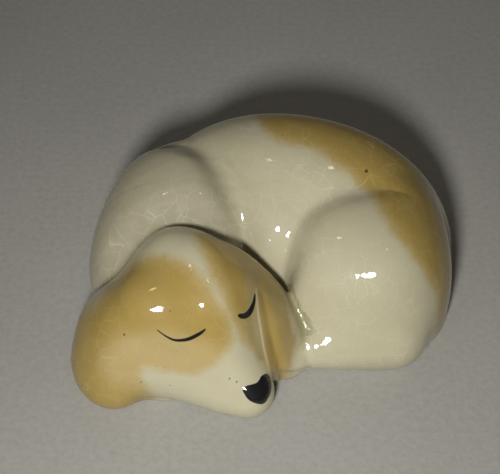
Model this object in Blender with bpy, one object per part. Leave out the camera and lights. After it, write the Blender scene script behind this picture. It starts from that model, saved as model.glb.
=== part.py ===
"""A small puppy asleep, slip-cast in one piece of earthenware and glazed.

+X runs along its length, towards the rump, and +Z is up. It lies curled up, so that its face
looks to -Y and +X. It stands on its flat underside, with the origin in the middle of that.
"""
import math

import bmesh
import bpy
import numpy as np
from mathutils import Euler, Matrix, Vector

# Driving dimensions, in metres
LENGTH = 0.085
FOOT_ROUNDING = 0.001

# The puppy is drawn in parts of its own length, as a free form. Places, sizes and softness are in
# these parts, with the length's middle near x = 0, and angles are in degrees.
PARTS_LONG = 82.1
PART = LENGTH / PARTS_LONG

# The head's frame: the point on the floor under the skull, and the way that the nose points
HEAD_AT = Vector((-16.0, -18.0, 0.0))
HEAD_AIM = -62.6

# How softly the lumps melt into each other
BROAD = 8.0
SOFT = 6.0
CREASE = 2.0
TUCK = 1.0

# The mesh
ROUGH_CELL = 0.7
TRIANGLES = 9400
SETTLE_STEPS = 12
LONGEST_STEP = 1.5
PROBE = 0.02
FLAT_BELOW = 0.03


def in_head(forward, left, up):
    """A place given in the head's frame, in the puppy's own."""
    turned = Matrix.Rotation(math.radians(HEAD_AIM), 3, "Z") @ Vector((forward, left, up))
    return HEAD_AT + turned


class Ball:
    """An egg-shaped lump, rolled, leant and turned. A fullness above 2 makes it squarer."""

    def __init__(self, centre, halves, turn=0.0, lean=0.0, roll=0.0, fullness=2.0):
        self.centre = Vector(centre)
        self.halves = Vector(halves)
        angles = [math.radians(angle) for angle in (roll, lean, turn)]
        self.turn = Euler(angles, "XYZ").to_matrix()
        self.fullness = fullness

    def distance(self, points):
        local = (points - np.array(self.centre)) @ np.array(self.turn)
        halves = np.array(self.halves)
        share = np.maximum(np.abs(local) / halves, 1e-6)
        reach = (share ** self.fullness).sum(axis=1) ** (1.0 / self.fullness)
        rate = (share / reach[:, None]) ** (self.fullness - 1.0) / halves
        return (reach - 1.0) / np.maximum(np.linalg.norm(rate, axis=1), 1e-6)

    def rough(self, block):
        size = Matrix.Diagonal((*self.halves, 1.0))
        place = Matrix.Translation(self.centre) @ self.turn.to_4x4() @ size
        bmesh.ops.create_icosphere(block, subdivisions=3, radius=1.0, matrix=place)


class Limb:
    """A bent round bar, through points that each have a radius."""

    def __init__(self, *stations):
        smooth = curve_through([(*point, radius) for point, radius in stations])
        self.points = [Vector(station[:3]) for station in smooth]
        self.radii = [float(station[3]) for station in smooth]

    def stretches(self):
        return zip(self.points, self.points[1:], self.radii, self.radii[1:])

    def distance(self, points):
        nearest = np.full(len(points), np.inf)
        for start, end, first, last in self.stretches():
            length = (end - start).length
            offset = points - np.array(start)
            along = offset @ np.array((end - start) / length)
            aside = np.sqrt(np.maximum((offset ** 2).sum(axis=1) - along ** 2, 0.0))
            taper = (first - last) / length
            foot = along - aside * taper / math.sqrt(1.0 - taper ** 2)
            share = np.clip(foot / length, 0.0, 1.0)
            gap = np.hypot(aside, along - share * length)
            nearest = np.minimum(nearest, gap - (first + (last - first) * share))
        return nearest

    def rough(self, block):
        for start, end, first, last in self.stretches():
            steps = max(2, round((end - start).length / min(first, last)))
            for step in range(steps + 1):
                place = Matrix.Translation(start.lerp(end, step / steps))
                radius = first + (last - first) * step / steps
                bmesh.ops.create_icosphere(block, subdivisions=2, radius=radius, matrix=place)


class Furrow:
    """A soft groove along a line on the plan. A station's ease makes it shallower there."""

    def __init__(self, depth, width, *stations):
        self.depth = depth
        self.width = width
        self.line = curve_through([(*place, ease) for place, ease in stations])

    def cut(self, points):
        nearest = np.full(len(points), np.inf)
        for start, end in zip(self.line, self.line[1:]):
            along = end[:2] - start[:2]
            offset = points[:, :2] - start[:2]
            share = np.clip(offset @ along / (along @ along), 0.0, 1.0)
            gap = np.linalg.norm(offset - share[:, None] * along, axis=1)
            nearest = np.minimum(nearest, gap + start[2] + (end[2] - start[2]) * share)
        return self.depth * np.exp(-(nearest / self.width) ** 2)


def curve_through(stations, steps=3):
    """A smooth curve through the stations, as more stations."""
    stations = [np.array(station, dtype=float) for station in stations]
    if len(stations) < 3:
        return stations
    before = [2 * stations[0] - stations[1]] + stations[:-1]
    after = stations[1:] + [2 * stations[-1] - stations[-2]]
    curve = []
    for i in range(len(stations) - 1):
        leaving = (after[i] - before[i]) / 2
        arriving = (after[i + 1] - before[i + 1]) / 2
        for step in range(steps):
            t = step / steps
            curve.append(
                stations[i] * (2 * t ** 3 - 3 * t ** 2 + 1)
                + leaving * (t ** 3 - 2 * t ** 2 + t)
                + stations[i + 1] * (3 * t ** 2 - 2 * t ** 3)
                + arriving * (t ** 3 - t ** 2)
            )
    return curve + [stations[-1]]


def melt(one, two, softness):
    """Joins two lumps' distances, with a rounded valley between them."""
    overlap = np.maximum(softness - np.abs(one - two), 0.0) / softness
    return np.minimum(one, two) - overlap ** 3 * softness / 6.0


# The body, curled round: a trunk, a rump, a hind leg folded up, a shoulder and a tail
TRUNK = Ball((7.6, 7.1, -1.6), (35.3, 21, 33.9), turn=-12, fullness=2.1)
RUMP = Ball((9.1, 0.3, 6.1), (27.3, 17.8, 19.7), turn=2.5, fullness=2.3)
HAUNCH = Ball((20.4, -6.2, 3.7), (20.4, 22.3, 24.5), turn=0.5, fullness=2.4)
HIND_FOOT = Limb(((11.5, -27.2, 5.2), 4.6), ((27.3, -24.4, 5), 6.5))
CHEST = Ball((-17.7, -7.5, 4.2), (19.5, 19.8, 22.4), turn=12, fullness=2.2)
SHOULDER = Ball((-15.2, 1, 13.9), (18.1, 18.1, 15.2), turn=-11.5, fullness=1.9)
TAIL = Limb(
    ((36, 8, 6), 4.0),
    ((36.5, 12.5, 4.5), 4.2),
    ((34.8, 17, 3.5), 4.1),
    ((31.5, 21, 3), 4.0),
    ((27, 24.3, 2.8), 3.8),
    ((22, 26.9, 2.8), 3.6),
    ((16.5, 28.9, 2.6), 3.3),
    ((11, 30.3, 2.4), 2.9),
    ((6.5, 31, 2.2), 2.3),
)

# The creases behind the neck, behind the shoulder and round the haunch
NECK_FURROW = Furrow(
    2.0,
    3.5,
    ((-36, -16), 3),
    ((-31, -17.5), 0.5),
    ((-26, -14.5), 0),
    ((-20, -11.5), 0),
    ((-12, -11), 0),
    ((-5, -12.5), 0),
    ((2, -17), 0),
)
SHOULDER_FURROW = Furrow(
    1.3,
    2.8,
    ((-27, 13), 6),
    ((-22, 12.5), 1.5),
    ((-16.9, 10.7), 0),
    ((-12.3, 6.2), 0),
    ((-9.6, 1.5), 0),
    ((-6.7, -4.4), 0),
    ((-3.5, -10), 0.5),
    ((-1, -14), 3),
)
HAUNCH_FURROW = Furrow(
    0.9,
    3.0,
    ((34, -5), 7),
    ((27.5, -3.3), 2),
    ((22.3, -3.6), 0),
    ((16, -4.8), 0),
    ((10.9, -6.6), 0),
    ((7.4, -10), 0),
    ((5.9, -14.6), 0),
    ((5.7, -20), 3),
    ((5.7, -26), 7),
)

# The face: skull, forehead, muzzle, a cheek on each side and the brow over the eye that shows
SKULL = Ball(in_head(-3.2, -3.3, 9), (9.8, 9.5, 18), turn=HEAD_AIM, lean=4.5, roll=-10)
FOREHEAD = Ball(in_head(2.6, 1.7, 17.8), (8.4, 7.8, 10.4), turn=HEAD_AIM)
MUZZLE = Limb(
    (in_head(8.1, 1.1, 16.6), 9.4),
    (in_head(15.7, 1.2, 9.4), 6.9),
    (in_head(24, 2.8, 4), 4.9),
)
RIGHT_CHEEK = Limb((in_head(5.3, -15.5, 8.3), 7.8), (in_head(20.1, -2.2, 3.3), 4.1))
LEFT_CHEEK = Limb((in_head(7.9, 5, 9.6), 7), (in_head(18.7, 6.3, 5.9), 2.9))
BROW = Ball(in_head(8.1, -5, 9.8), (9.8, 9.6, 5.2), turn=HEAD_AIM)

# The right ear, splayed out on the floor
RIGHT_EAR_ROOT = Limb((in_head(3.5, -9.4, 16.6), 7.2), (in_head(-0.7, -13.2, 5.4), 10.4))
RIGHT_EAR_LOBE = Ball(in_head(4.3, -20.3, 2.5), (9.2, 6.8, 6.8), turn=HEAD_AIM)

# The left ear, a flap that hangs between the face and the haunch
LEFT_EAR_FLAP = Ball(
    in_head(9.5, 7, 17.3), (15.9, 8.4, 2.4), turn=HEAD_AIM + 41, lean=37.5, roll=18
)
LEFT_EAR_FOLD = Limb(
    (in_head(8.4, 6.9, 19), 4),
    (in_head(14.4, 11.1, 7.7), 2.8),
    (in_head(17.6, 12.6, 3.1), 3.4),
)
LEFT_EAR_TIP = Limb((in_head(15.5, 12.6, 12.5), 3), (in_head(18.6, 14, 3.4), 3.7))

# The clay that fills the hollows under the jaw, under the left ear and beside the neck, where a
# cast figure has no undercut
JAW_FILL = Ball(in_head(7, -7, 0), (10, 10, 5), turn=HEAD_AIM)
EAR_FILL = Limb((in_head(-1, 5, 15), 5.5), (in_head(8, 10.5, 11), 5), (in_head(14, 13, 4), 3.4))
POCKET_FILL = Ball((2.5, -18.5, 0), (8, 9, 11))

LUMPS = (
    TRUNK, RUMP, HAUNCH, HIND_FOOT, CHEST, SHOULDER, TAIL,
    SKULL, FOREHEAD, MUZZLE, RIGHT_CHEEK, LEFT_CHEEK, BROW,
    RIGHT_EAR_ROOT, RIGHT_EAR_LOBE, LEFT_EAR_FLAP, LEFT_EAR_FOLD, LEFT_EAR_TIP,
    JAW_FILL, EAR_FILL, POCKET_FILL,
)
FURROWS = (NECK_FURROW, SHOULDER_FURROW, HAUNCH_FURROW)


def body(points):
    back = melt(TRUNK.distance(points), RUMP.distance(points), SOFT)
    leg = melt(HAUNCH.distance(points), HIND_FOOT.distance(points), SOFT)
    front = melt(CHEST.distance(points), SHOULDER.distance(points), SOFT)
    whole = melt(melt(back, leg, CREASE), front, CREASE)
    whole = melt(whole, POCKET_FILL.distance(points), CREASE)
    whole = melt(whole, TAIL.distance(points), CREASE)
    return whole + sum(furrow.cut(points) for furrow in FURROWS)


def face(points):
    top = melt(SKULL.distance(points), FOREHEAD.distance(points), BROAD)
    cheeks = melt(RIGHT_CHEEK.distance(points), LEFT_CHEEK.distance(points), SOFT)
    front = melt(melt(top, MUZZLE.distance(points), BROAD), cheeks, BROAD)
    front = melt(front, BROW.distance(points), BROAD)
    return melt(front, JAW_FILL.distance(points), CREASE)


def left_ear(points):
    fold = melt(LEFT_EAR_FOLD.distance(points), LEFT_EAR_TIP.distance(points), CREASE)
    flap = melt(LEFT_EAR_FLAP.distance(points), fold, SOFT)
    return melt(flap, EAR_FILL.distance(points), CREASE)


def right_ear(points):
    return melt(RIGHT_EAR_ROOT.distance(points), RIGHT_EAR_LOBE.distance(points), SOFT)


def puppy(points):
    """The signed distance to the figurine's skin, in parts: below zero inside."""
    head = melt(melt(face(points), right_ear(points), BROAD), left_ear(points), TUCK)
    whole = melt(body(points), head, TUCK)
    return -melt(-whole, points[:, 2], FOOT_ROUNDING / PART)


def slope(points, values):
    """Which way is outwards, and how fast the form's distance grows that way."""
    rates = np.empty_like(points)
    for axis in range(3):
        beside = points.copy()
        beside[:, axis] += PROBE
        rates[:, axis] = (puppy(beside) - values) / PROBE
    speed = np.linalg.norm(rates, axis=1)
    return rates / np.maximum(speed, 1e-6)[:, None], np.maximum(speed, 0.3)


def pulled(points):
    """The points, moved straight onto the skin."""
    values = puppy(points)
    outward, speed = slope(points, values)
    step = np.clip(values / speed, -LONGEST_STEP, LONGEST_STEP)
    return points - outward * step[:, None], outward


def evened(points, edges, outward):
    """The points, spread out evenly along the skin."""
    ends = np.concatenate([edges, edges[:, ::-1]])
    count = np.bincount(ends[:, 0], minlength=len(points))
    middle = np.empty_like(points)
    for axis in range(3):
        total = np.bincount(ends[:, 0], weights=points[ends[:, 1], axis], minlength=len(points))
        middle[:, axis] = total / np.maximum(count, 1)
    shift = middle - points
    shift -= outward * (shift * outward).sum(axis=1)[:, None]
    return points + 0.5 * shift


def mesh_points(mesh):
    points = np.empty(len(mesh.vertices) * 3)
    mesh.vertices.foreach_get("co", points)
    return points.reshape(-1, 3)


def mesh_edges(mesh):
    edges = np.empty(len(mesh.edges) * 2, dtype=np.int32)
    mesh.edges.foreach_get("vertices", edges)
    return edges.reshape(-1, 2)


def with_modifier(mesh, kind, **settings):
    """The mesh after one modifier."""
    holder = bpy.data.objects.new("block", mesh)
    bpy.context.scene.collection.objects.link(holder)
    modifier = holder.modifiers.new(kind.title(), kind)
    for name, value in settings.items():
        setattr(modifier, name, value)
    seen = holder.evaluated_get(bpy.context.evaluated_depsgraph_get())
    result = bpy.data.meshes.new_from_object(seen)
    bpy.data.objects.remove(holder)
    return result


def rough_block():
    """All the lumps as plain closed shapes, cut off flat at the floor."""
    block = bmesh.new()
    for lump in LUMPS:
        lump.rough(block)
    everything = block.verts[:] + block.edges[:] + block.faces[:]
    bmesh.ops.bisect_plane(
        block, geom=everything, plane_co=(0, 0, 0), plane_no=(0, 0, 1), clear_inner=True
    )
    open_edges = [edge for edge in block.edges if edge.is_boundary]
    bmesh.ops.holes_fill(block, edges=open_edges)
    mesh = bpy.data.meshes.new("rough block")
    block.to_mesh(mesh)
    block.free()
    return with_modifier(mesh, "REMESH", mode="VOXEL", voxel_size=ROUGH_CELL)


def outer_skin(mesh):
    """The mesh without the skins of any hollows that the rough lumps close in."""
    block = bmesh.new()
    block.from_mesh(mesh)
    reached = set()
    skins = []
    for first in block.verts:
        if first in reached:
            continue
        reached.add(first)
        skin = [first]
        for vert in skin:
            for edge in vert.link_edges:
                other = edge.other_vert(vert)
                if other not in reached:
                    reached.add(other)
                    skin.append(other)
        skins.append(skin)
    skins.sort(key=len)
    for skin in skins[:-1]:
        bmesh.ops.delete(block, geom=skin, context="VERTS")
    block.to_mesh(mesh)
    block.free()
    return mesh


def carved_block():
    """The block with its skin brought to the puppy's form, with few triangles."""
    mesh = outer_skin(rough_block())
    points, edges = mesh_points(mesh), mesh_edges(mesh)
    for _ in range(SETTLE_STEPS):
        points, outward = pulled(points)
        points = evened(points, edges, outward)
    for _ in range(3):
        points, outward = pulled(points)
    mesh.vertices.foreach_set("co", points.ravel())
    mesh.update()
    mesh.calc_loop_triangles()
    share = TRIANGLES / len(mesh.loop_triangles)
    return with_modifier(mesh, "DECIMATE", ratio=share, use_collapse_triangulate=True)


def sleeping_dog():
    mesh = carved_block()
    points = mesh_points(mesh)
    for _ in range(3):
        points, outward = pulled(points)
    points[points[:, 2] < FLAT_BELOW, 2] = 0.0
    middle = (points.min(axis=0) + points.max(axis=0)) / 2
    middle[2] = 0.0
    mesh.vertices.foreach_set("co", ((points - middle) * PART).ravel())
    mesh.update()
    mesh.shade_smooth()
    mesh.name = "sleeping_dog"
    return mesh


def cream_glaze():
    material = bpy.data.materials.new("cream glaze")
    material.use_nodes = True
    shader = material.node_tree.nodes["Principled BSDF"]
    shader.inputs["Base Color"].default_value = (0.78, 0.74, 0.57, 1.0)
    shader.inputs["Roughness"].default_value = 0.12
    shader.inputs["Metallic"].default_value = 0.0
    return material


def main():
    for thing in list(bpy.data.objects):
        bpy.data.objects.remove(thing)
    figurine = bpy.data.objects.new("sleeping_dog", sleeping_dog())
    figurine.data.materials.clear()
    figurine.data.materials.append(cream_glaze())
    bpy.context.scene.collection.objects.link(figurine)


main()
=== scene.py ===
"""The looks of a small puppy asleep, slip-cast in one piece, painted and glazed."""
import math

import bmesh
import bpy
import numpy as np
from mathutils import Euler, Matrix, Vector


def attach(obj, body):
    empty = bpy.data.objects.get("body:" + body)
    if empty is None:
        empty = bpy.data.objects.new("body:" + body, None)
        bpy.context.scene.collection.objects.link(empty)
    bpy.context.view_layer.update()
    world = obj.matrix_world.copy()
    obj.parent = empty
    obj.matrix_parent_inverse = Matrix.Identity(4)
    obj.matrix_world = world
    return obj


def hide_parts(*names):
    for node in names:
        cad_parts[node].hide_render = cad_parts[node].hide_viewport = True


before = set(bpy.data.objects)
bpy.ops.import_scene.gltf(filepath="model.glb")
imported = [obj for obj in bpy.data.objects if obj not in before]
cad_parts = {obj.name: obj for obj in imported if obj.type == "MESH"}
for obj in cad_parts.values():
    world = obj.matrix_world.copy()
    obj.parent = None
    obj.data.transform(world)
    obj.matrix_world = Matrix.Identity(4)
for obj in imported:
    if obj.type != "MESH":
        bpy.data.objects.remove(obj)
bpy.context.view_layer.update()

# The puppy is drawn in parts of its own length, as in the solid that it replaces. MIDDLE is where
# the solid's origin lies in that drawing.
PART = 0.085 / 82.1
MIDDLE = np.array((1.366, -4.861, 0.0))

# The head's frame: the point on the floor under the skull, and the way that the nose points
HEAD_AT = Vector((-16.0, -18.0, 0.0))
HEAD_AIM = -62.6

# How softly the lumps melt into each other
BROAD = 8.0
SOFT = 6.0
CREASE = 2.0
FOOT_ROUNDING = 0.001 / PART

# Where the left ear meets the face, and where the head meets the body, the skin is tucked in
# deeply. From these places on towards the rump it is filled out instead, and beside the body only
# under this height. Each pair is where the filling begins and where it is whole.
TUCK = 1.0
FILLED = 3.2
EAR_FILLED_FROM = (-9.0, -4.0)
HEAD_FILLED_FROM = (-4.0, 2.0)
HEAD_FILLED_BELOW = (16.0, 13.0)

# The mesh of the glazed skin: its cells in metres, how it is drawn onto the form in parts, and the
# height under which it stands on the floor
CELL = 0.00046
SETTLE_STEPS = 6
LAST_STEPS = 2
LONGEST_STEP = 1.0
SLOWEST = 0.3
EVENING = 0.5
PROBE = 0.02
REACH = 9.0
FLAT_BELOW = 0.03
TINY = 1e-6


# The form


def in_head(forward, left, up):
    """A place given in the head's frame, in the puppy's own."""
    turned = Matrix.Rotation(math.radians(HEAD_AIM), 3, "Z") @ Vector((forward, left, up))
    return HEAD_AT + turned


class Lump:
    """A shape with a signed distance, which is exact within REACH of the shape's own box."""

    def distance(self, points):
        places = self.placed(points)
        beyond = np.maximum(np.maximum(self.low - places, places - self.high), 0.0)
        nearest = np.linalg.norm(beyond, axis=1)
        close = nearest < REACH
        nearest[close] = self.exact(places[close])
        return nearest


class Ball(Lump):
    """An egg-shaped lump, rolled, leant and turned. A fullness above 2 makes it squarer."""

    def __init__(self, centre, halves, turn=0.0, lean=0.0, roll=0.0, fullness=2.0):
        self.centre = np.array(centre)
        self.high = np.array(halves, dtype=float)
        self.low = -self.high
        angles = [math.radians(angle) for angle in (roll, lean, turn)]
        self.turn = np.array(Euler(angles, "XYZ").to_matrix())
        self.fullness = fullness

    def placed(self, points):
        return (points - self.centre) @ self.turn

    def exact(self, places):
        share = np.maximum(np.abs(places) / self.high, TINY)
        reach = (share ** self.fullness).sum(axis=1) ** (1.0 / self.fullness)
        rate = (share / reach[:, None]) ** (self.fullness - 1.0) / self.high
        return (reach - 1.0) / np.maximum(np.linalg.norm(rate, axis=1), TINY)


class Limb(Lump):
    """A bent round bar, through points that each have a radius."""

    def __init__(self, *stations):
        self.line = curve_through([(*point, radius) for point, radius in stations])
        self.low = np.min([station[:3] - station[3] for station in self.line], axis=0)
        self.high = np.max([station[:3] + station[3] for station in self.line], axis=0)

    def placed(self, points):
        return points

    def exact(self, places):
        nearest = np.full(len(places), np.inf)
        for start, end in zip(self.line, self.line[1:]):
            length = np.linalg.norm(end[:3] - start[:3])
            offset = places - start[:3]
            along = offset @ ((end[:3] - start[:3]) / length)
            aside = np.sqrt(np.maximum((offset ** 2).sum(axis=1) - along ** 2, 0.0))
            taper = (start[3] - end[3]) / length
            foot = along - aside * taper / math.sqrt(1.0 - taper ** 2)
            share = np.clip(foot / length, 0.0, 1.0)
            gap = np.hypot(aside, along - share * length)
            nearest = np.minimum(nearest, gap - (start[3] + (end[3] - start[3]) * share))
        return nearest


class Furrow(Lump):
    """A soft groove along a line on the plan. A station's ease makes it shallower there."""

    def __init__(self, depth, width, *stations):
        self.depth = depth
        self.width = width
        self.line = curve_through([(*place, ease) for place, ease in stations])
        self.low = np.min([station[:2] for station in self.line], axis=0)
        self.high = np.max([station[:2] for station in self.line], axis=0)

    def placed(self, points):
        return points[:, :2]

    def exact(self, places):
        nearest = np.full(len(places), np.inf)
        for start, end in zip(self.line, self.line[1:]):
            along = end[:2] - start[:2]
            offset = places - start[:2]
            share = np.clip(offset @ along / (along @ along), 0.0, 1.0)
            gap = np.linalg.norm(offset - share[:, None] * along, axis=1)
            nearest = np.minimum(nearest, gap + start[2] + (end[2] - start[2]) * share)
        return nearest

    def cut(self, points):
        return self.depth * np.exp(-(self.distance(points) / self.width) ** 2)


class Welt:
    """A low soft ridge along a line in space."""

    def __init__(self, height, width, *places):
        self.height = height
        self.width = width
        self.line = Limb(*[(place, 0.0) for place in places])

    def rise(self, points):
        return self.height * np.exp(-(self.line.distance(points) / self.width) ** 2)


class Swell:
    """A low round swelling of the skin, or a dip where its height is below zero."""

    def __init__(self, height, width, centre):
        self.height = height
        self.width = width
        self.centre = np.array(centre)

    def rise(self, points):
        away = ((points - self.centre) ** 2).sum(axis=1)
        return self.height * np.exp(-away / self.width ** 2)


def curve_through(stations, steps=3):
    """A smooth curve through the stations, as more stations."""
    stations = [np.array(station, dtype=float) for station in stations]
    if len(stations) < 3:
        return stations
    before = [2 * stations[0] - stations[1]] + stations[:-1]
    after = stations[1:] + [2 * stations[-1] - stations[-2]]
    curve = []
    for i in range(len(stations) - 1):
        leaving = (after[i] - before[i]) / 2
        arriving = (after[i + 1] - before[i + 1]) / 2
        for step in range(steps):
            t = step / steps
            curve.append(
                stations[i] * (2 * t ** 3 - 3 * t ** 2 + 1)
                + leaving * (t ** 3 - 2 * t ** 2 + t)
                + stations[i + 1] * (3 * t ** 2 - 2 * t ** 3)
                + arriving * (t ** 3 - t ** 2)
            )
    return curve + [stations[-1]]


def smoothstep(low, high, values):
    share = np.clip((values - low) / (high - low), 0.0, 1.0)
    return share * share * (3.0 - 2.0 * share)


def melt(one, two, softness):
    """Joins two lumps' distances, with a rounded valley between them."""
    overlap = np.maximum(softness - np.abs(one - two), 0.0) / softness
    return np.minimum(one, two) - overlap ** 3 * softness / 6.0


# The body, curled round: a trunk, a rump, a hind leg folded up, a shoulder and a tail
TRUNK = Ball((7.6, 7.1, -1.6), (35.3, 21, 33.9), turn=-12, fullness=2.1)
RUMP = Ball((9.1, 0.3, 6.1), (27.3, 17.8, 19.7), turn=2.5, fullness=2.3)
HAUNCH = Ball((20.4, -6.2, 3.7), (20.4, 22.3, 24.5), turn=0.5, fullness=2.4)
HIND_FOOT = Limb(((11.5, -27.2, 5.2), 4.6), ((27.3, -24.4, 5), 6.5))
CHEST = Ball((-17.7, -7.5, 4.2), (19.5, 19.8, 22.4), turn=12, fullness=2.2)
SHOULDER = Ball((-15.2, 1, 13.9), (18.1, 18.1, 15.2), turn=-11.5)
TAIL = Limb(
    ((36, 8, 6), 4.0),
    ((36.5, 12.5, 4.5), 4.2),
    ((34.8, 17, 3.5), 4.1),
    ((31.5, 21, 3), 4.0),
    ((27, 24.3, 2.8), 3.8),
    ((22, 26.9, 2.8), 3.6),
    ((16.5, 28.9, 2.6), 3.3),
    ((11, 30.3, 2.4), 2.9),
    ((6.5, 31, 2.2), 2.3),
)

# The creases behind the neck, behind the shoulder and round the haunch
NECK_FURROW = Furrow(
    2.9,
    4.6,
    ((-36, -16), 3),
    ((-31, -17.5), 0.5),
    ((-26, -14.5), 0),
    ((-20, -11.5), 0),
    ((-12, -11), 0),
    ((-5, -12.5), 0),
    ((2, -17), 0),
)
SHOULDER_FURROW = Furrow(
    1.3,
    2.8,
    ((-27, 13), 6),
    ((-22, 12.5), 1.5),
    ((-16.9, 10.7), 0),
    ((-12.3, 6.2), 0),
    ((-9.6, 1.5), 0),
    ((-6.7, -4.4), 0),
    ((-3.5, -10), 0.5),
    ((-1, -14), 3),
)
HAUNCH_FURROW = Furrow(
    0.9,
    3.0,
    ((34, -5), 7),
    ((27.5, -3.3), 2),
    ((22.3, -3.6), 0),
    ((16, -4.8), 0),
    ((10.9, -6.6), 0),
    ((7.4, -10), 0),
    ((5.9, -14.6), 0),
    ((5.7, -20), 3),
    ((5.7, -26), 7),
)
FURROWS = (NECK_FURROW, SHOULDER_FURROW, HAUNCH_FURROW)

# Low swellings and dips, which round the haunch, the belly and the cheek
SWELLS = (
    Swell(0.9, 8, (28, -20.5, 21)),
    Swell(-0.6, 8, (17.5, -21, 24)),
    Swell(0.35, 5, (23.5, -22, 22.5)),
    Swell(-0.4, 9, (6, -6, 27)),
    Swell(0.3, 8, (24, -15, 27)),
    Swell(0.45, 3.5, (-18.4, -34.2, 16.6)),
)

# The face: skull, forehead, muzzle, a cheek on each side and the brow over the eye that shows
SKULL = Ball(in_head(-3.2, -3.3, 9), (9.8, 9.5, 18), turn=HEAD_AIM, lean=4.5, roll=-10)
FOREHEAD = Ball(in_head(2.6, 1.7, 17.8), (8.4, 7.8, 10.4), turn=HEAD_AIM)
MUZZLE = Limb(
    (in_head(8.1, 1.1, 16.6), 9.4),
    (in_head(15.7, 1.2, 9.4), 6.9),
    (in_head(24, 2.8, 4), 4.9),
)
RIGHT_CHEEK = Limb((in_head(5.3, -15.5, 8.3), 7.8), (in_head(20.1, -2.2, 3.3), 4.1))
LEFT_CHEEK = Limb((in_head(7.9, 5, 9.6), 7), (in_head(18.7, 6.3, 5.9), 2.9))
BROW = Ball(in_head(8.1, -5, 9.8), (9.8, 9.6, 5.2), turn=HEAD_AIM)

# The right ear, splayed out on the floor
RIGHT_EAR_ROOT = Limb((in_head(3.5, -9.4, 16.6), 7.2), (in_head(-0.7, -13.2, 5.4), 10.4))
RIGHT_EAR_LOBE = Ball(in_head(4.3, -20.3, 2.5), (9.2, 6.8, 6.8), turn=HEAD_AIM)

# The left ear, a flap that hangs between the face and the haunch
LEFT_EAR_FLAP = Ball(
    in_head(9.5, 7, 17.3), (15.9, 8.4, 2.4), turn=HEAD_AIM + 41, lean=37.5, roll=18
)
LEFT_EAR_FOLD = Limb(
    (in_head(8.4, 6.9, 19), 4),
    (in_head(14.4, 11.1, 7.7), 2.8),
    (in_head(17.6, 12.6, 3.1), 3.4),
)
LEFT_EAR_TIP = Limb((in_head(15.5, 12.6, 12.5), 3), (in_head(18.6, 14, 3.4), 3.7))

# The low relief of the left ear: its rounded front edge, the hollow behind that edge, the fine
# bead along its rim, and the full hem of its tip
EAR_FRONT = (
    (-1.0, -25.2, 18.2), (-0.6, -27.0, 16.4), (-0.2, -28.9, 14.5), (0.3, -30.4, 12.4),
    (0.7, -31.6, 10.2), (1.0, -32.3, 8.0), (1.3, -32.6, 5.5), (1.8, -32.7, 3.0),
    (2.1, -32.7, 0.0), (2.2, -32.7, -3.0),
)
EAR_HOLLOW = (
    (-0.4, -25.4, 17.6), (0.5, -27.2, 15.8), (1.1, -29.0, 14.0), (1.6, -30.4, 12.0),
    (2.0, -31.4, 9.8), (2.3, -32.0, 7.5), (2.9, -32.2, 4.5), (3.6, -32.2, 1.0),
    (3.8, -32.2, -2.0),
)
EAR_RIM = (
    (-13.8, -15.0, 27.5), (-11.6, -15.2, 27.0), (-9.2, -15.7, 25.9), (-6.9, -15.9, 24.2),
    (-4.4, -16.6, 22.7), (-2.3, -17.3, 21.3), (-0.4, -17.9, 19.6), (1.2, -18.7, 18.1),
    (2.7, -19.8, 16.6), (4.0, -21.3, 15.2), (4.9, -23.7, 14.6), (5.7, -26.0, 13.7),
    (6.2, -28.0, 11.6), (6.3, -29.9, 9.3), (6.3, -31.0, 6.0), (6.2, -31.4, 2.0),
    (6.2, -31.4, -2.0),
)
EAR_HEM = ((2.5, -33.0, 7.0), (5.5, -32.6, 6.2), (8.0, -31.6, 5.6))
EAR_RELIEF = (
    Welt(0.8, 2.6, *EAR_FRONT),
    Welt(0.8, 2.2, *EAR_HEM),
    Welt(-0.7, 0.9, *EAR_HOLLOW),
    Welt(0.2, 0.6, *EAR_RIM),
)

# The clay that fills the hollows under the jaw, under the left ear and beside the neck
JAW_FILL = Ball(in_head(7, -7, 0), (10, 10, 5), turn=HEAD_AIM)
EAR_FILL = Limb((in_head(-1, 5, 15), 5.5), (in_head(8, 10.5, 11), 5), (in_head(14, 13, 4), 3.4))
POCKET_FILL = Ball((2.5, -18.5, 0), (8, 9, 11))


def body(points):
    back = melt(TRUNK.distance(points), RUMP.distance(points), SOFT)
    leg = melt(HAUNCH.distance(points), HIND_FOOT.distance(points), SOFT)
    front = melt(CHEST.distance(points), SHOULDER.distance(points), SOFT)
    whole = melt(melt(back, leg, CREASE), front, CREASE)
    whole = melt(whole, POCKET_FILL.distance(points), CREASE)
    whole = melt(whole, TAIL.distance(points), CREASE)
    return whole + sum(furrow.cut(points) for furrow in FURROWS)


def face(points):
    top = melt(SKULL.distance(points), FOREHEAD.distance(points), BROAD)
    cheeks = melt(RIGHT_CHEEK.distance(points), LEFT_CHEEK.distance(points), SOFT)
    front = melt(melt(top, MUZZLE.distance(points), BROAD), cheeks, BROAD)
    front = melt(front, BROW.distance(points), BROAD)
    return melt(front, JAW_FILL.distance(points), CREASE)


def left_ear(points):
    fold = melt(LEFT_EAR_FOLD.distance(points), LEFT_EAR_TIP.distance(points), BROAD)
    flap = melt(LEFT_EAR_FLAP.distance(points), fold, BROAD)
    flap = melt(flap, EAR_FILL.distance(points), CREASE)
    return flap - sum(welt.rise(points) for welt in EAR_RELIEF)


def right_ear(points):
    return melt(RIGHT_EAR_ROOT.distance(points), RIGHT_EAR_LOBE.distance(points), SOFT)


def head(points):
    filled = smoothstep(*EAR_FILLED_FROM, points[:, 0])
    skull = melt(face(points), right_ear(points), BROAD)
    return melt(skull, left_ear(points), TUCK + (FILLED - TUCK) * filled)


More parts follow.
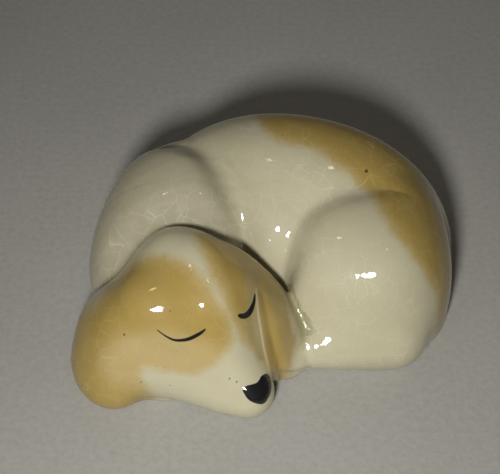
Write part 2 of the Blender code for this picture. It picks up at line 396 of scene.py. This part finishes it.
def puppy(points):
    """The signed distance to the figurine's skin, in parts: below zero inside."""
    low = smoothstep(*HEAD_FILLED_BELOW, points[:, 2])
    beside_ear = smoothstep(*HEAD_FILLED_FROM, points[:, 0])
    whole = melt(body(points), head(points), TUCK + (FILLED - TUCK) * low * beside_ear)
    whole = whole - sum(swell.rise(points) for swell in SWELLS)
    return -melt(-whole, points[:, 2], FOOT_ROUNDING)


# The skin


def slope(points, values):
    """Which way is outwards, and how fast the form's distance grows that way."""
    rates = np.empty_like(points)
    for axis in range(3):
        beside = points.copy()
        beside[:, axis] += PROBE
        rates[:, axis] = (puppy(beside) - values) / PROBE
    speed = np.linalg.norm(rates, axis=1)
    return rates / np.maximum(speed, TINY)[:, None], np.maximum(speed, SLOWEST)


def pulled(points):
    """The points, moved straight onto the skin."""
    values = puppy(points)
    outward, speed = slope(points, values)
    step = np.clip(values / speed, -LONGEST_STEP, LONGEST_STEP)
    return points - outward * step[:, None], outward


def evened(points, edges, outward):
    """The points, spread out evenly along the skin."""
    ends = np.concatenate([edges, edges[:, ::-1]])
    count = np.bincount(ends[:, 0], minlength=len(points))
    middle = np.empty_like(points)
    for axis in range(3):
        total = np.bincount(ends[:, 0], weights=points[ends[:, 1], axis], minlength=len(points))
        middle[:, axis] = total / np.maximum(count, 1)
    shift = middle - points
    shift -= outward * (shift * outward).sum(axis=1)[:, None]
    return points + EVENING * shift


def mesh_points(mesh):
    points = np.empty(len(mesh.vertices) * 3)
    mesh.vertices.foreach_get("co", points)
    return points.reshape(-1, 3)


def mesh_edges(mesh):
    edges = np.empty(len(mesh.edges) * 2, dtype=np.int32)
    mesh.edges.foreach_get("vertices", edges)
    return edges.reshape(-1, 2)


def blank():
    """The solid's own mesh, merged and cut into fine even cells."""
    block = bmesh.new()
    block.from_mesh(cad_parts["sleeping_dog"].data)
    bmesh.ops.remove_doubles(block, verts=block.verts[:], dist=TINY)
    mesh = bpy.data.meshes.new("blank")
    block.to_mesh(mesh)
    block.free()
    holder = bpy.data.objects.new("blank", mesh)
    bpy.context.scene.collection.objects.link(holder)
    cells = holder.modifiers.new("Cells", "REMESH")
    cells.mode = "VOXEL"
    cells.voxel_size = CELL
    seen = holder.evaluated_get(bpy.context.evaluated_depsgraph_get())
    result = bpy.data.meshes.new_from_object(seen)
    bpy.data.objects.remove(holder)
    bpy.data.meshes.remove(mesh)
    return result


def skin(mesh):
    """The mesh's points, drawn onto the form, and the way outwards at each."""
    points, edges = mesh_points(mesh) / PART + MIDDLE, mesh_edges(mesh)
    for _ in range(SETTLE_STEPS):
        points, outward = pulled(points)
        points = evened(points, edges, outward)
    for _ in range(LAST_STEPS):
        points, outward = pulled(points)
    points[points[:, 2] < FLAT_BELOW, 2] = 0.0
    return points, outward


# The paint

# How far from an edge the paint's distances are kept: the spray's, and all the others'
SPRAY_REACH = 6.0
PAINT_REACH = 5.0
FAR_AWAY = 50.0


def inside_loop(places, loop):
    """How far each place is inside a closed curve: below zero outside."""
    nearest = np.full(len(places), np.inf)
    crossings = np.zeros(len(places), dtype=int)
    for start, end in zip(loop, loop[1:] + loop[:1]):
        along = end - start
        offset = places - start
        share = np.clip(offset @ along / (along @ along), 0.0, 1.0)
        gap = np.linalg.norm(offset - share[:, None] * along, axis=1)
        nearest = np.minimum(nearest, gap)
        if start[1] != end[1]:
            spans = (start[1] > places[:, 1]) != (end[1] > places[:, 1])
            at = start[0] + (places[:, 1] - start[1]) / along[1] * along[0]
            crossings += spans & (places[:, 0] < at)
    return np.where(crossings % 2 == 1, nearest, -nearest)


# The head's patches, strokes, bands and nose are drawn as seen from the front and from this far
# above, and the back's patch as seen from straight above
PAINTED_FROM = math.radians(50.0)


def from_the_front(points):
    """Where each point lies on the drawing: across it and up it."""
    across = points[:, 0]
    upwards = points[:, 1] * math.sin(PAINTED_FROM) + points[:, 2] * math.cos(PAINTED_FROM)
    return np.stack([across, upwards], axis=1)


BACK_PATCH = curve_through([
    (-9, 40), (-8.2, 31), (-4.6, 26), (-2.4, 20), (-1.3, 13.4), (0.2, 9.8), (2.1, 7.1), (4.8, 5.3),
    (9.5, 3.6), (13, 2), (15.2, 0.2), (17.1, -0.8), (18.9, -2.3), (20.6, -3.9), (22.1, -6.2),
    (23.6, -10.5), (25, -13.4), (26.5, -15.5), (28.7, -17.6), (31.4, -19.6), (34.1, -21),
    (37, -22), (44, -25), (60, -24), (60, 60), (-9, 60),
])
RIGHT_PATCH = curve_through([
    (-50, -4), (-38, -9), (-33.7, -7), (-31.9, -3.9), (-29.6, -1.5), (-27.3, 0.4),
    (-23.8, 1.2), (-19.2, 1.4), (-15.1, -0.2), (-12.1, -2.6), (-9.9, -5.2), (-8.2, -8.1),
    (-6.4, -10.6), (-6.0, -13.6), (-6.2, -16), (-7.6, -18.4), (-9.8, -21), (-13.7, -22),
    (-17.8, -21.4), (-22.2, -20.9), (-23.8, -21.4), (-24.1, -23.3), (-23, -25.1), (-22, -29),
    (-26, -40), (-50, -40),
])
LEFT_PATCH = curve_through([
    (-17.5, 12), (-15.3, 8), (-14.4, 6.2), (-13.1, 4.8), (-11.9, 2.2), (-10.6, -0.8),
    (-9.3, -3.9), (-7.4, -8), (-5.9, -11.4), (-4.2, -14.9), (-2.8, -16.9), (-1.2, -18.8),
    (0.2, -21), (1.5, -23), (2.5, -26), (4.2, -25), (5.9, -22.3), (6.7, -19.3), (6.9, -16.9),
    (6.8, -14), (6.3, -11.1), (5.5, -8.8), (4.6, -6.3), (3.8, -2), (3, 4), (-4, 13),
])
# The nose's curve ends where it begins, so its last point is left out
NOSE = curve_through([
    (-3.9, -25.5), (-3.2, -24.6), (-1.0, -24.0), (-0.3, -22.9), (0.9, -22.4), (1.7, -23.6),
    (1.8, -25.8), (0.5, -28.2), (-1.4, -28.1), (-3, -27), (-3.9, -25.5),
])[:-1]


class Stroke:
    """A thin brush stroke on the drawing. Each station is a place and the half width there."""

    def __init__(self, *stations):
        self.line = curve_through(stations)

    def laid(self, seen):
        """How far each place lies to the stroke's right, and the half width beside it.

        A place on its left has a distance below zero, so that a line finer than the mesh's cells
        still runs on unbroken between them. Past its ends the half width falls below zero.
        """
        aside = np.full(len(seen), FAR_AWAY)
        width = np.zeros(len(seen))
        for i, (start, end) in enumerate(zip(self.line, self.line[1:])):
            along = end[:2] - start[:2]
            length = np.linalg.norm(along)
            offset = seen - start[:2]
            run = offset @ along / length
            share = np.clip(run / length, 0.0, 1.0)
            gap = np.linalg.norm(offset - share[:, None] * along, axis=1)
            side = np.where(offset[:, 0] * along[1] > offset[:, 1] * along[0], 1.0, -1.0)
            here = start[2] + (end[2] - start[2]) * share
            if i == 0:
                here = here - np.maximum(-run, 0.0)
            if i == len(self.line) - 2:
                here = here - np.maximum(run - length, 0.0)
            nearer = gap < np.abs(aside)
            aside = np.where(nearer, gap * side, aside)
            width = np.where(nearer, here, width)
        return aside, width


def band(*stations):
    """A broad band on the drawing. Each station is a place and the half width there."""
    return Limb(*[((across, upwards, 0.0), half) for across, upwards, half in stations])


def tan_spray(points, seen, on_head):
    """How far each point is inside a sprayed patch's edge: below zero outside."""
    back = inside_loop(points[:, :2], BACK_PATCH)
    sides = np.maximum(inside_loop(seen, RIGHT_PATCH), inside_loop(seen, LEFT_PATCH))
    return np.clip(np.where(on_head, sides, back), -SPRAY_REACH, SPRAY_REACH)


# The eyes' closed lids, drawn with a fine brush, and a pale line on the left ear's front edge,
# where the glaze runs thin over the clay and a painted highlight stands in for the edge's gloss
STROKES = {
    "right_lid": Stroke(
        (-20.6, -13.3, 0.07), (-19.5, -14.2, 0.12), (-18, -15.1, 0.18), (-17, -15.4, 0.23),
        (-15.8, -15.4, 0.28), (-14.6, -15.2, 0.33), (-13.4, -14.7, 0.35), (-12, -13.9, 0.3),
        (-11, -13.1, 0.12),
    ),
    "left_lid": Stroke(
        (-4.5, -10.5, 0.36), (-3.9, -10.7, 0.5), (-3.2, -10.6, 0.56), (-2.5, -10, 0.52),
        (-2, -9.1, 0.42), (-1.6, -7.9, 0.28), (-1.4, -6.4, 0.12),
    ),
    "ear_edge_glaze_and_highlight": Stroke(
        (-1.2, -5.2, 0.02), (-0.8, -10, 0.1), (-0.2, -13.7, 0.12), (0.4, -17.4, 0.12),
        (1.2, -20.7, 0.12), (2, -23.5, 0.1),
    ),
}

# Specks in the glaze, each with its radius
SPECKS = (
    ((21.6, 0.3, 28.9), 0.42),
    ((4.2, 7.5, 32.2), 0.22),
    ((36.8, -17.1, 16.9), 0.25),
    ((-27.2, -33.1, 17.1), 0.25),
    ((-24.1, -38.7, 8.8), 0.22),
    ((-18.0, -31.0, 22.0), 0.18),
    ((-5.0, -39.6, 10.2), 0.22),
    ((-6.4, -39.2, 10.7), 0.2),
)

# How far the nose stands out of the skin, and the distances inside its edge over which it rises
NOSE_HEIGHT = 0.25
NOSE_SLOPE = (-0.35, 0.75)

# How long a step off the skin feels for a crease, and the shares of it between which glaze pools
# and the crease is painted darker as shade
POOL_REACH = 1.2
CREASED = (0.97, 0.55)

# Where the spray is thinnest: the cheek under the right eye
THIN = Ball((-20, -36, 12), (12, 5, 7))

# Painted shade and light on the left ear: painted shadow in the hollow behind its front edge, and
# a band down its middle where painted light takes the place of its painted shade. The third band
# is painted shade on the far side of the face, beside the ear.
EAR_SHADOW = band(
    (-0.4, -6, 0.1), (0.3, -10, 0.3), (0.9, -13.5, 0.4), (1.6, -17, 0.5), (2.3, -20.3, 0.7),
    (3, -23.5, 0.9),
)
EAR_LIT_BAND = band((0.1, -4.5, 0.1), (1.9, -13.7, 0.9), (3.7, -23, 1.3))
FACE_SIDE_SHADE = band((-1.9, -6, 0.2), (-2, -11, 0.7), (-1.2, -15, 0.8), (-0.1, -19, 0.4))

# The distances from a shape at which its tone ends and is whole: the thin spray, the left ear,
# the painted light along its middle, the painted shadow in its hollow, and the painted shade on
# the far side of the face
THIN_FADE = (3.0, -2.0)
EAR_FADE = (-1.0, 0.6)
LIT_BAND_FADE = (1.2, -0.4)
EAR_SHADOW_FADE = (0.7, -0.3)
FAR_SHADE_FADE = (1.0, -0.5)

# How much of the ear's painted shade is taken away along its middle, where light falls, and how
# faint the face's crazing is
LIT_BAND_STRENGTH = 0.85
FACE_CALM = 0.5

# How far back the head's paint goes: the strokes and bands, and the nose. Skin is painted only if
# the cosine of its angle with the drawing's view is above TURNED_AWAY.
FACE_BEFORE = -14.0
NOSE_BEFORE = -33.0
TURNED_AWAY = -0.05

# The places along the length where a tone begins and is whole: the left ear's painted shade, the
# face's fainter crazing, and the painted shade on the cream behind the head. That painted shade
# has a fade of its own too.
EAR_FROM = (-9.0, -6.0)
CALM_FROM = (-34.0, -24.0)
HEAD_SHADE_FROM = (4.0, -8.0)
HEAD_SHADE_FADE = (14.0, 1.0)


def add_attribute(mesh, name, values):
    layer = mesh.attributes.new(name, "FLOAT", "POINT")
    layer.data.foreach_set("value", np.asarray(values, dtype=np.float32))


def add_strokes(mesh, seen, front):
    for name, stroke in STROKES.items():
        aside, width = stroke.laid(seen)
        aside = np.where(front, np.clip(aside, -PAINT_REACH, PAINT_REACH), PAINT_REACH)
        width = np.where(front, np.maximum(width, -PAINT_REACH), -1.0)
        add_attribute(mesh, name, aside)
        add_attribute(mesh, name + "_width", width)


def paint(mesh, points, outward):
    """Writes the paint's shapes on the mesh. Returns how far each point is inside the nose."""
    seen = from_the_front(points)
    drawn = np.column_stack([seen, np.zeros(len(points))])
    on_head = body(points) > head(points)
    add_attribute(mesh, "tan", tan_spray(points, seen, on_head))
    add_attribute(mesh, "thin", smoothstep(*THIN_FADE, THIN.distance(points)) * on_head)

    on_ear = smoothstep(*EAR_FADE, face(points) - left_ear(points)) * on_head
    on_ear *= smoothstep(*EAR_FROM, points[:, 0])
    lit_band = smoothstep(*LIT_BAND_FADE, EAR_LIT_BAND.distance(drawn))
    behind = smoothstep(*HEAD_SHADE_FADE, head(points)) * smoothstep(*HEAD_SHADE_FROM, points[:, 0])
    calm = np.where(on_head, FACE_CALM + (1.0 - FACE_CALM) * on_ear, 0.0)
    # Painted shade on the cream behind the head, darker nearer to it
    add_attribute(mesh, "behind", behind * ~on_head)
    # Painted shade on the left ear, taken away along its lit middle band
    add_attribute(mesh, "shaded", on_ear * (1.0 - LIT_BAND_STRENGTH * lit_band))
    add_attribute(mesh, "calm", calm * smoothstep(*CALM_FROM, points[:, 0]))

    turned = outward[:, 2] * math.sin(PAINTED_FROM) - outward[:, 1] * math.cos(PAINTED_FROM)
    facing = turned > TURNED_AWAY
    front = facing & on_head & (points[:, 1] < FACE_BEFORE)
    # Painted shadow in the hollow behind the left ear's front edge
    add_attribute(mesh, "hollow", smoothstep(*EAR_SHADOW_FADE, EAR_SHADOW.distance(drawn)) * front)
    # Painted shade on the far side of the face
    add_attribute(mesh, "far", smoothstep(*FAR_SHADE_FADE, FACE_SIDE_SHADE.distance(drawn)) * front)
    add_strokes(mesh, seen, front)

    nose = inside_loop(seen, NOSE)
    nose[~facing | ~on_head | (points[:, 1] > NOSE_BEFORE)] = -PAINT_REACH
    add_attribute(mesh, "nose", np.clip(nose, -PAINT_REACH, PAINT_REACH))
    spots = np.full(len(points), PAINT_REACH)
    for centre, radius in SPECKS:
        spots = np.minimum(spots, np.linalg.norm(points - np.array(centre), axis=1) - radius)
    add_attribute(mesh, "specks", spots)

    # In a crease, a step straight off the skin ends nearer to it than the step is long. The glaze
    # pools there, and the same mark paints the crease's shade
    openness = puppy(points + outward * POOL_REACH) / POOL_REACH
    add_attribute(mesh, "pool_and_shade", smoothstep(*CREASED, openness))
    return nose


def glazed_puppy():
    mesh = blank()
    mesh.name = "sleeping_puppy"
    points, outward = skin(mesh)
    nose = paint(mesh, points, outward)
    raised = points + outward * (NOSE_HEIGHT * smoothstep(*NOSE_SLOPE, nose))[:, None]
    mesh.vertices.foreach_set("co", ((raised - MIDDLE) * PART).ravel())
    mesh.update()
    mesh.shade_smooth()
    figurine = bpy.data.objects.new("sleeping_puppy", mesh)
    bpy.context.scene.collection.objects.link(figurine)
    mesh.materials.clear()
    mesh.materials.append(glaze())
    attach(figurine, "root")
    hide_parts("sleeping_dog")


# The finish


class Finish:
    """A material's nodes, wired by name."""

    def __init__(self, name):
        self.material = bpy.data.materials.new(name)
        self.material.use_nodes = True
        self.nodes = self.material.node_tree.nodes
        self.links = self.material.node_tree.links
        self.shader = self.nodes["Principled BSDF"]

    def node(self, kind, inputs=None, **settings):
        made = self.nodes.new("ShaderNode" + kind)
        for name, value in settings.items():
            setattr(made, name, value)
        for name, value in (inputs or {}).items():
            if isinstance(value, bpy.types.NodeSocket):
                self.links.new(value, made.inputs[name])
            else:
                made.inputs[name].default_value = value
        return made

    def join(self, output, name):
        self.links.new(output, self.shader.inputs[name])

    def attribute(self, name):
        return self.node("Attribute", attribute_name=name).outputs["Fac"]

    def painted(self, name, strength):
        return self.maths("MULTIPLY", self.attribute(name), strength)

    def brushed(self, name, edge, strength=1.0):
        """A brush stroke: its strength where it is laid on, 0 off it."""
        aside = self.maths("ABSOLUTE", self.attribute(name))
        beyond = self.maths("SUBTRACT", aside, self.attribute(name + "_width"))
        return self.ramp(beyond, *edge, strength, 0.0)

    def noise(self, place, scale, detail=2.0, output="Fac", roughness=0.5):
        made = self.node("TexNoise", {
            "Vector": place, "Scale": scale, "Detail": detail, "Roughness": roughness,
        })
        return made.outputs[output]

    def ramp(self, value, low, high, start=0.0, end=1.0):
        """From start to end as the value goes from low to high, smoothly."""
        made = self.node("MapRange", {
            "Value": value, "From Min": low, "From Max": high, "To Min": start, "To Max": end,
        }, interpolation_type="SMOOTHSTEP")
        return made.outputs["Result"]

    def maths(self, operation, one, two=0.0, three=0.0):
        return self.node("Math", {0: one, 1: two, 2: three}, operation=operation).outputs[0]

    def blend(self, share, one, two):
        """The first colour where the share is 0, the second where it is 1.

        A Mix node's sockets 6 and 7 take the colours, and its socket 2 gives the blend.
        """
        made = self.node("Mix", {"Factor": share, 6: one, 7: two}, data_type="RGBA")
        return made.outputs[2]

    def bump(self, height, distance):
        """The way outwards of a skin that is rough by this distance, in metres."""
        return self.node("Bump", {
            "Height": height, "Strength": 1.0, "Distance": distance,
        }).outputs["Normal"]


# Colours
CREAM = (0.478, 0.438, 0.300, 1.0)
CREAM_DEEP = (0.446, 0.410, 0.262, 1.0)
# Painted shade: the cream behind the head, where the head shades it
CREAM_PAINTED_SHADE = (0.300, 0.275, 0.188, 1.0)
TAN = (0.345, 0.242, 0.064, 1.0)
TAN_PALE = (0.410, 0.310, 0.125, 1.0)
TAN_THIN = (0.420, 0.320, 0.135, 1.0)
# Painted shade on the left ear
TAN_SHADED = (0.255, 0.195, 0.085, 1.0)
# Painted shadow: the hollow behind the left ear's front edge
TAN_PAINTED_SHADOW = (0.190, 0.130, 0.040, 1.0)
# Painted shade: the far side of the face
FAR_SIDE_PAINTED_SHADE = (0.270, 0.230, 0.110, 1.0)
# Thin glaze on the ear's edge, and a painted highlight along it
THIN_GLAZE_AND_HIGHLIGHT = (0.470, 0.430, 0.300, 1.0)
# Thicker greenish glaze in the creases, and painted shade there
POOLED_AND_SHADED = (0.230, 0.205, 0.090, 1.0)
BLACK = (0.008, 0.007, 0.008, 1.0)
CRAZED_TAN = (0.560, 0.420, 0.160, 1.0)
CRAZED_CREAM = (0.620, 0.575, 0.420, 1.0)

# How many waves or cells each of the finish's patterns has in a metre
WANDER = 160.0
GRAIN = 900.0
CLOUDS = 60.0
RAGS = 1500.0
POOL_GRAINS = 2600.0
NET = 230.0
SWIRL = 120.0
FIRST_LINES = 105.0
SECOND_LINES = 165.0
GAPS = 230.0
CRAZED_PLACES = 90.0

# How far the spray's edge wanders and crumbles, and how far the nose's edge crumbles, in parts
WANDERS_BY = 2.6
CRUMBLES_BY = 1.2
NOSE_CRUMBLES_BY = 0.3

# The values between which the tones, lines and edges of the glaze come in
COVERED = (0.5, 3.1)
DEEPENED = (1.8, 5.0)
THICKENED = (0.75, 1.45)
NET_LINE = (0.004, 0.022)
CURVED_LINE = (0.86, 0.97)
LINE_GAPS = (0.44, 0.56)
CRAZED_HERE = (0.35, 0.65)
LID_EDGE = (-0.08, 0.14)
EAR_LINE_EDGE = (-0.1, 0.25)
NOSE_EDGE = (0.05, 0.25)
SPECK_EDGE = (-0.1, 0.15)

# The point that the long lines of the crazing run round, in metres, and how far the net is bent
CRAZED_ROUND = (-0.012, -0.016, 0.0)
NET_BEND = (0.007, 0.007, 0.007)

# The heights in metres between which the bare clay of the underside turns to glaze, and how rough
# the clay and the body under the glaze are
GLAZED_FROM = (0.0002, 0.0006)
ROUGHNESS = (0.85, 0.5)
RIPPLE_DEPTH = 0.000022


def crackle(finish, place):
    """A net of fine cracks: 1 on a crack, 0 off it."""
    swirl = finish.noise(place, SWIRL, 1.0, "Color")
    bent = finish.node("VectorMath", {0: swirl, 1: NET_BEND, 2: place}, operation="MULTIPLY_ADD")
    cells = finish.node("TexVoronoi", {"Vector": bent.outputs[0], "Scale": NET},
                        feature="DISTANCE_TO_EDGE")
    return finish.ramp(cells.outputs["Distance"], *NET_LINE, 1.0, 0.0)


def curved_lines(finish, place, scale, phase):
    """Long thin cracks that run round the form in broken curves: 1 on a crack, 0 off it."""
    centred = finish.node("VectorMath", {0: place, 1: CRAZED_ROUND}, operation="SUBTRACT")
    waves = finish.node("TexWave", {
        "Vector": centred.outputs[0], "Scale": scale, "Distortion": 9.0, "Detail": 2.0,
        "Detail Scale": 60.0, "Phase Offset": phase,
    }, wave_type="RINGS", rings_direction="SPHERICAL", wave_profile="TRI")
    line = finish.ramp(waves.outputs["Fac"], *CURVED_LINE)
    shifted = finish.node("VectorMath", {0: place, 1: (phase, 0.0, 0.0)}, operation="ADD")
    broken = finish.ramp(finish.noise(shifted.outputs[0], GAPS, 2.0), *LINE_GAPS)
    return finish.maths("MULTIPLY", line, broken)


def glaze():
    finish = Finish("crazed cream glaze")
    place = finish.node("TexCoord").outputs["Object"]

    # The sprayed tan: its edge wanders, and it is mottled inside
    wander = finish.noise(place, WANDER, 3.0)
    grain = finish.noise(place, GRAIN, 3.0)
    edge = finish.maths("MULTIPLY_ADD", wander, WANDERS_BY, finish.attribute("tan"))
    edge = finish.maths("MULTIPLY_ADD", grain, CRUMBLES_BY, edge)
    cover = finish.ramp(edge, *COVERED)
    tan = finish.blend(finish.ramp(edge, *DEEPENED), TAN_PALE, TAN)
    tan = finish.blend(finish.attribute("thin"), tan, TAN_THIN)
    # Painted shade on the left ear, lighter along its middle where light falls
    tan = finish.blend(finish.painted("shaded", 0.75), tan, TAN_SHADED)
    cream = finish.blend(finish.noise(place, CLOUDS), CREAM, CREAM_DEEP)
    # Painted shade on the cream behind the head
    cream = finish.blend(finish.painted("behind", 0.75), cream, CREAM_PAINTED_SHADE)
    colour = finish.blend(cover, cream, tan)

    # Painted shade on the far side of the face, painted shadow in the left ear's hollow, and the
    # pale line on its front edge, where the glaze runs thin and a painted highlight stands in for
    # its gloss
    colour = finish.blend(finish.painted("far", 0.8), colour, FAR_SIDE_PAINTED_SHADE)
    colour = finish.blend(finish.painted("hollow", 0.75), colour, TAN_PAINTED_SHADOW)
    colour = finish.blend(finish.brushed("ear_edge_glaze_and_highlight", EAR_LINE_EDGE, 0.6), colour, THIN_GLAZE_AND_HIGHLIGHT)

    # The glaze, thicker and greenish in the creases, with a ragged edge, and painted shade that
    # darkens the creases
    ragged = finish.noise(place, RAGS, 3.0, roughness=0.7)
    pool_and_shade = finish.maths("ADD", ragged, finish.attribute("pool_and_shade"))
    pooled_and_shaded = finish.ramp(pool_and_shade, *THICKENED, 0.0, 0.8)
    colour = finish.blend(pooled_and_shaded, colour, POOLED_AND_SHADED)

    # The crazing: long fine lines that follow the form round, and a faint net between them
    net = finish.maths("MULTIPLY", crackle(finish, place), 0.55)
    lines = finish.maths("MAXIMUM", curved_lines(finish, place, FIRST_LINES, 0.0),
                         curved_lines(finish, place, SECOND_LINES, 9.0))
    there = finish.ramp(finish.noise(place, CRAZED_PLACES), *CRAZED_HERE, 0.3, 0.75)
    there = finish.maths("MULTIPLY_ADD", cover, 0.2, there)
    lively = finish.maths("SUBTRACT", 1.0, finish.attribute("calm"))
    there = finish.maths("MULTIPLY", there, lively)
    cracks = finish.maths("MULTIPLY", finish.maths("MAXIMUM", net, lines), there)
    pale = finish.blend(cover, CRAZED_CREAM, CRAZED_TAN)
    colour = finish.blend(cracks, colour, pale)

    # The eyes' lids, the nose and the specks
    lids = finish.maths("MAXIMUM", finish.brushed("right_lid", LID_EDGE),
                        finish.brushed("left_lid", LID_EDGE))
    nose = finish.maths("MULTIPLY_ADD", grain, NOSE_CRUMBLES_BY, finish.attribute("nose"))
    nose = finish.ramp(nose, *NOSE_EDGE)
    speck = finish.ramp(finish.attribute("specks"), *SPECK_EDGE, 0.75, 0.0)
    black = finish.maths("MAXIMUM", finish.maths("MAXIMUM", lids, nose), speck)
    colour = finish.blend(black, colour, BLACK)
    finish.join(colour, "Base Color")

    # Clear gloss all over, but for the bare underside
    height = finish.node("SeparateXYZ", {0: place}).outputs["Z"]
    finish.join(finish.ramp(height, *GLAZED_FROM), "Coat Weight")
    finish.join(finish.ramp(height, *GLAZED_FROM, *ROUGHNESS), "Roughness")
    grains = finish.maths("MULTIPLY", finish.noise(place, POOL_GRAINS, 2.0), pooled_and_shaded)
    ripple = finish.maths("MULTIPLY_ADD", grains, 4.0, finish.noise(place, GRAIN, 2.0))
    finish.join(finish.bump(ripple, RIPPLE_DEPTH), "Coat Normal")
    finish.shader.inputs["Coat Roughness"].default_value = 0.03
    finish.shader.inputs["Coat IOR"].default_value = 1.5
    finish.shader.inputs["Specular IOR Level"].default_value = 0.12
    return finish.material


# The studio

# The camera looks down at AIM, from this far above the level and this far away. The picture shows
# AIM at its own place in it, counted in pixels from its top left.
CAMERA_TILT = math.radians(50.0)
CAMERA_AWAY = 300.0 * PART
CAMERA_BACK = Vector((0.0, -math.cos(CAMERA_TILT), math.sin(CAMERA_TILT)))
AIM = Vector(-MIDDLE * PART)
CAMERA_AT = AIM + CAMERA_BACK * CAMERA_AWAY
PICTURE = (500, 474)
AIM_SHOWN_AT = (262, 262)
FOCAL_PIXELS = 1345.3
SENSOR = 36.0

# The ways across and up the picture. The camera's lamp sits to the left of the lens and below it.
PICTURE_RIGHT = Vector((1.0, 0.0, 0.0))
PICTURE_UP = Vector((0.0, math.sin(CAMERA_TILT), math.cos(CAMERA_TILT)))
KEY_AT = CAMERA_AT + (-0.11 * PICTURE_RIGHT - 0.185 * PICTURE_UP) * CAMERA_AWAY
KEY_AIM = AIM + Vector((0.0, -0.015, 0.0))
CEILING_BULBS = ((-0.31, -0.07, 0.95), (0.23, -0.18, 0.95))
FILL_AT = (0.05, 0.6, 0.5)

FLOOR_HALF = 1.5
PAPER_DARK = (0.345, 0.333, 0.300, 1.0)
PAPER_PALE = (0.415, 0.401, 0.362, 1.0)
BULB_LIGHT = (1.0, 0.85, 0.6)
ROOM_LIGHT = (1.0, 0.95, 0.86, 1.0)


def add_camera():
    lens = bpy.data.cameras.new("camera")
    lens.sensor_width = SENSOR
    lens.lens = FOCAL_PIXELS / PICTURE[0] * SENSOR
    lens.shift_x = (PICTURE[0] / 2 - AIM_SHOWN_AT[0]) / PICTURE[0]
    lens.shift_y = (AIM_SHOWN_AT[1] - PICTURE[1] / 2) / PICTURE[0]
    lens.clip_start = 0.01
    camera = bpy.data.objects.new("camera", lens)
    camera.location = CAMERA_AT
    camera.rotation_euler = (math.radians(90.0) - CAMERA_TILT, 0.0, 0.0)
    bpy.context.scene.collection.objects.link(camera)
    bpy.context.scene.camera = camera


def add_floor():
    sheet = bmesh.new()
    bmesh.ops.create_grid(sheet, x_segments=2, y_segments=2, size=FLOOR_HALF)
    mesh = bpy.data.meshes.new("floor")
    sheet.to_mesh(mesh)
    sheet.free()
    floor = bpy.data.objects.new("floor", mesh)
    bpy.context.scene.collection.objects.link(floor)
    paper = Finish("pale paper")
    place = paper.node("TexCoord").outputs["Object"]
    fibres = paper.noise(place, 700.0, 4.0, roughness=0.7)
    clouds = paper.noise(place, 25.0, 2.0)
    tone = paper.ramp(paper.maths("MULTIPLY_ADD", clouds, 0.4, fibres), 0.4, 1.0)
    paper.join(paper.blend(tone, PAPER_DARK, PAPER_PALE), "Base Color")
    paper.join(paper.bump(fibres, 0.00008), "Normal")
    paper.shader.inputs["Roughness"].default_value = 0.7
    mesh.materials.append(paper.material)


def add_lamp(name, kind, place, **settings):
    light = bpy.data.lights.new(name, kind)
    for setting, value in settings.items():
        setattr(light, setting, value)
    lamp = bpy.data.objects.new(name, light)
    lamp.location = place
    bpy.context.scene.collection.objects.link(lamp)
    return lamp


def turn_to(lamp, aim):
    lamp.rotation_euler = (aim - lamp.location).to_track_quat("-Z", "Y").to_euler()


def studio():
    add_camera()
    add_floor()
    key = add_lamp("key", "AREA", KEY_AT, shape="DISK", size=0.045, energy=0.2,
                   spread=math.radians(90.0))
    turn_to(key, KEY_AIM)
    for place in CEILING_BULBS:
        add_lamp("ceiling bulb", "POINT", place, shadow_soft_size=0.03, energy=0.35,
                 color=BULB_LIGHT)
    fill = add_lamp("fill", "AREA", FILL_AT, shape="DISK", size=0.5, energy=0.32)
    fill.visible_glossy = False
    turn_to(fill, AIM)

    room = bpy.data.worlds.new("room")
    room.use_nodes = True
    background = room.node_tree.nodes["Background"]
    background.inputs["Color"].default_value = ROOM_LIGHT
    background.inputs["Strength"].default_value = 0.052
    bpy.context.scene.world = room
    bpy.context.scene.view_settings.view_transform = "Standard"


glazed_puppy()
studio()
